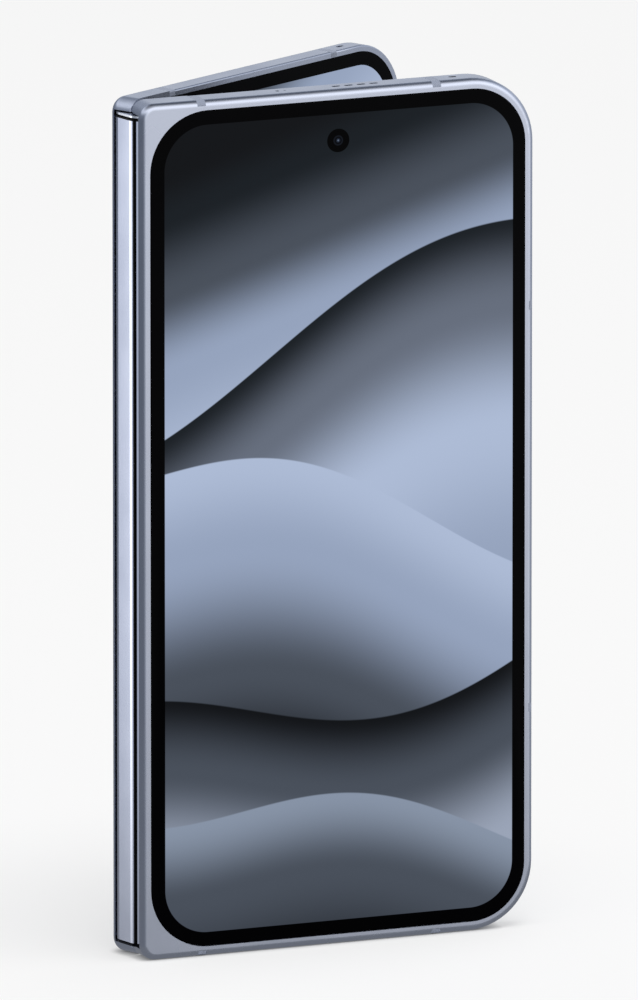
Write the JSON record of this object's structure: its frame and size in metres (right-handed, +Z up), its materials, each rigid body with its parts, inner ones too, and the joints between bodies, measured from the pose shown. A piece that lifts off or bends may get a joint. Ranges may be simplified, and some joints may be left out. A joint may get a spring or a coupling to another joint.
{
  "type": "foldable smartphone",
  "caption": "Book-style foldable phone on its bottom edge: two thin metal halves on a spine hinge, an outer glass display, a bending inner display, buttons, a card tray and a charging socket.",
  "frame": {"origin": "middle of the cover half's bottom edge, on the surface that the phone stands on", "axes": "+X from the hinge to the free edge of the cover half, +Y from the cover display towards the back, +Z up along the hinge"},
  "size_m": [0.077, 0.0447, 0.1552],
  "materials": {
    "satin_metal": "satin blue-grey anodised",
    "band_plastic": "satin, slightly greyer than the frame",
    "polished_spine": "polished, pale lavender",
    "bright_metal": "bright",
    "black_glass": "polished, black behind the glass",
    "back_glass": "satin, opaque tint behind the glass",
    "display_panel": "lit display showing soft bands of slate and pale blue",
    "black_plastic": "satin black",
    "mesh": "woven mesh",
    "hinge_steel": "ground",
    "slider_brass": "plain",
    "plate_metal": "stamped",
    "battery_wrap": "film wrapped",
    "circuit_board": "solder mask",
    "copper": "enamelled copper",
    "flex_film": "polyimide film",
    "flash_lens": "frosted"
  },
  "bodies": {
    "cover_half": {"cover_frame": "satin_metal", "cover_antenna_bands": "band_plastic", "cover_midplate": "plate_metal", "cover_glass": "black_glass", "cover_display_panel": "display_panel", "cover_camera": "black_plastic", "cover_camera_lens": "black_glass", "cover_battery": "battery_wrap", "earpiece_speaker": "black_plastic", "earpiece_mesh": "mesh", "cover_board": "circuit_board", "sub_board": "circuit_board", "vibration_motor": "hinge_steel", "cover_screws": "bright_metal", "cover_support_plate": "plate_metal", "cover_inner_display": "display_panel", "cover_inner_bezel": "black_plastic", "cover_shaft": "hinge_steel"},
    "spine": {"spine_cover": "polished_spine", "spine_gaskets": "black_plastic", "spine_end_plates": "bright_metal", "hinge_brackets": "hinge_steel", "bracket_screws": "bright_metal", "spring_washers": "bright_metal", "fold_display": "display_panel", "fold_flex_cables": "flex_film"},
    "sync_slider": {"sync_slider": "slider_brass"},
    "cover_wing": {"cover_wing_plate": "hinge_steel"},
    "rear_wing": {"rear_wing_plate": "hinge_steel"},
    "rear_half": {"rear_frame": "satin_metal", "rear_antenna_bands": "band_plastic", "rear_midplate": "plate_metal", "back_glass": "back_glass", "camera_island": "satin_metal", "island_glass": "black_glass", "rear_cameras": "black_plastic", "flash_lens": "flash_lens", "main_board": "circuit_board", "board_shield": "bright_metal", "rear_battery": "battery_wrap", "charging_coil": "copper", "magnet_ring": "hinge_steel", "usb_port": "bright_metal", "loudspeaker": "black_plastic", "loudspeaker_mesh": "mesh", "side_switches": "slider_brass", "card_reader": "bright_metal", "inner_camera": "black_plastic", "rear_screws": "bright_metal", "rear_support_plate": "plate_metal", "rear_inner_display": "display_panel", "rear_inner_bezel": "black_plastic", "rear_shaft": "hinge_steel"},
    "power_button": {"power_button": "satin_metal"},
    "volume_rocker": {"volume_rocker": "satin_metal"},
    "card_tray": {"card_tray": "satin_metal"}
  },
  "joints": [
    {"name": "spine_fold", "type": "hinge", "parent": "cover_half", "child": "spine", "pos_m": [-0.03635, 0.0015, 0.0776], "axis": [0, 0, 1], "range_deg": [-14.2, 75.8], "deforming": ["fold_display"]},
    {"name": "rear_fold", "type": "hinge", "parent": "spine", "child": "rear_half", "pos_m": [-0.03699, 0.00402, 0.0776], "axis": [0, 0, 1], "range_deg": [-14.2, 75.8], "deforming": ["fold_display"]},
    {"name": "cover_wing_tilt", "type": "hinge", "parent": "cover_half", "child": "cover_wing", "pos_m": [-0.02835, 0.00165, 0.0776], "axis": [0, 0, 1], "range_deg": [-21.07, 3.95]},
    {"name": "rear_wing_tilt", "type": "hinge", "parent": "rear_half", "child": "rear_wing", "pos_m": [-0.02988, 0.00769, 0.0776], "axis": [0, 0, 1], "range_deg": [-3.95, 21.07]},
    {"name": "slider_shift", "type": "slide", "parent": "spine", "child": "sync_slider", "axis": [0, 0, 1], "range_m": [-0.00025, 0.00127]},
    {"name": "power_press", "type": "slide", "parent": "rear_half", "child": "power_button", "axis": [-0.8796, -0.4756, 0], "range_m": [0, 0.0003], "stiffness_N_per_m": 3000, "springref_m": -0.0001},
    {"name": "volume_press", "type": "slide", "parent": "rear_half", "child": "volume_rocker", "axis": [-0.8796, -0.4756, 0], "range_m": [0, 0.0003], "stiffness_N_per_m": 3000, "springref_m": -0.0001},
    {"name": "tray_slide", "type": "slide", "parent": "rear_half", "child": "card_tray", "axis": [0.8796, 0.4756, 0], "range_m": [0, 0.018]}
  ],
  "couplings": [
    {"joint": "rear_fold", "follows": "spine_fold", "ratio": 1},
    {"joint": "cover_wing_tilt", "follows": "spine_fold", "ratio": -0.27778},
    {"joint": "rear_wing_tilt", "follows": "spine_fold", "ratio": 0.27778},
    {"joint": "slider_shift", "follows": "spine_fold", "m_per_rad": 0.00095493}
  ]
}
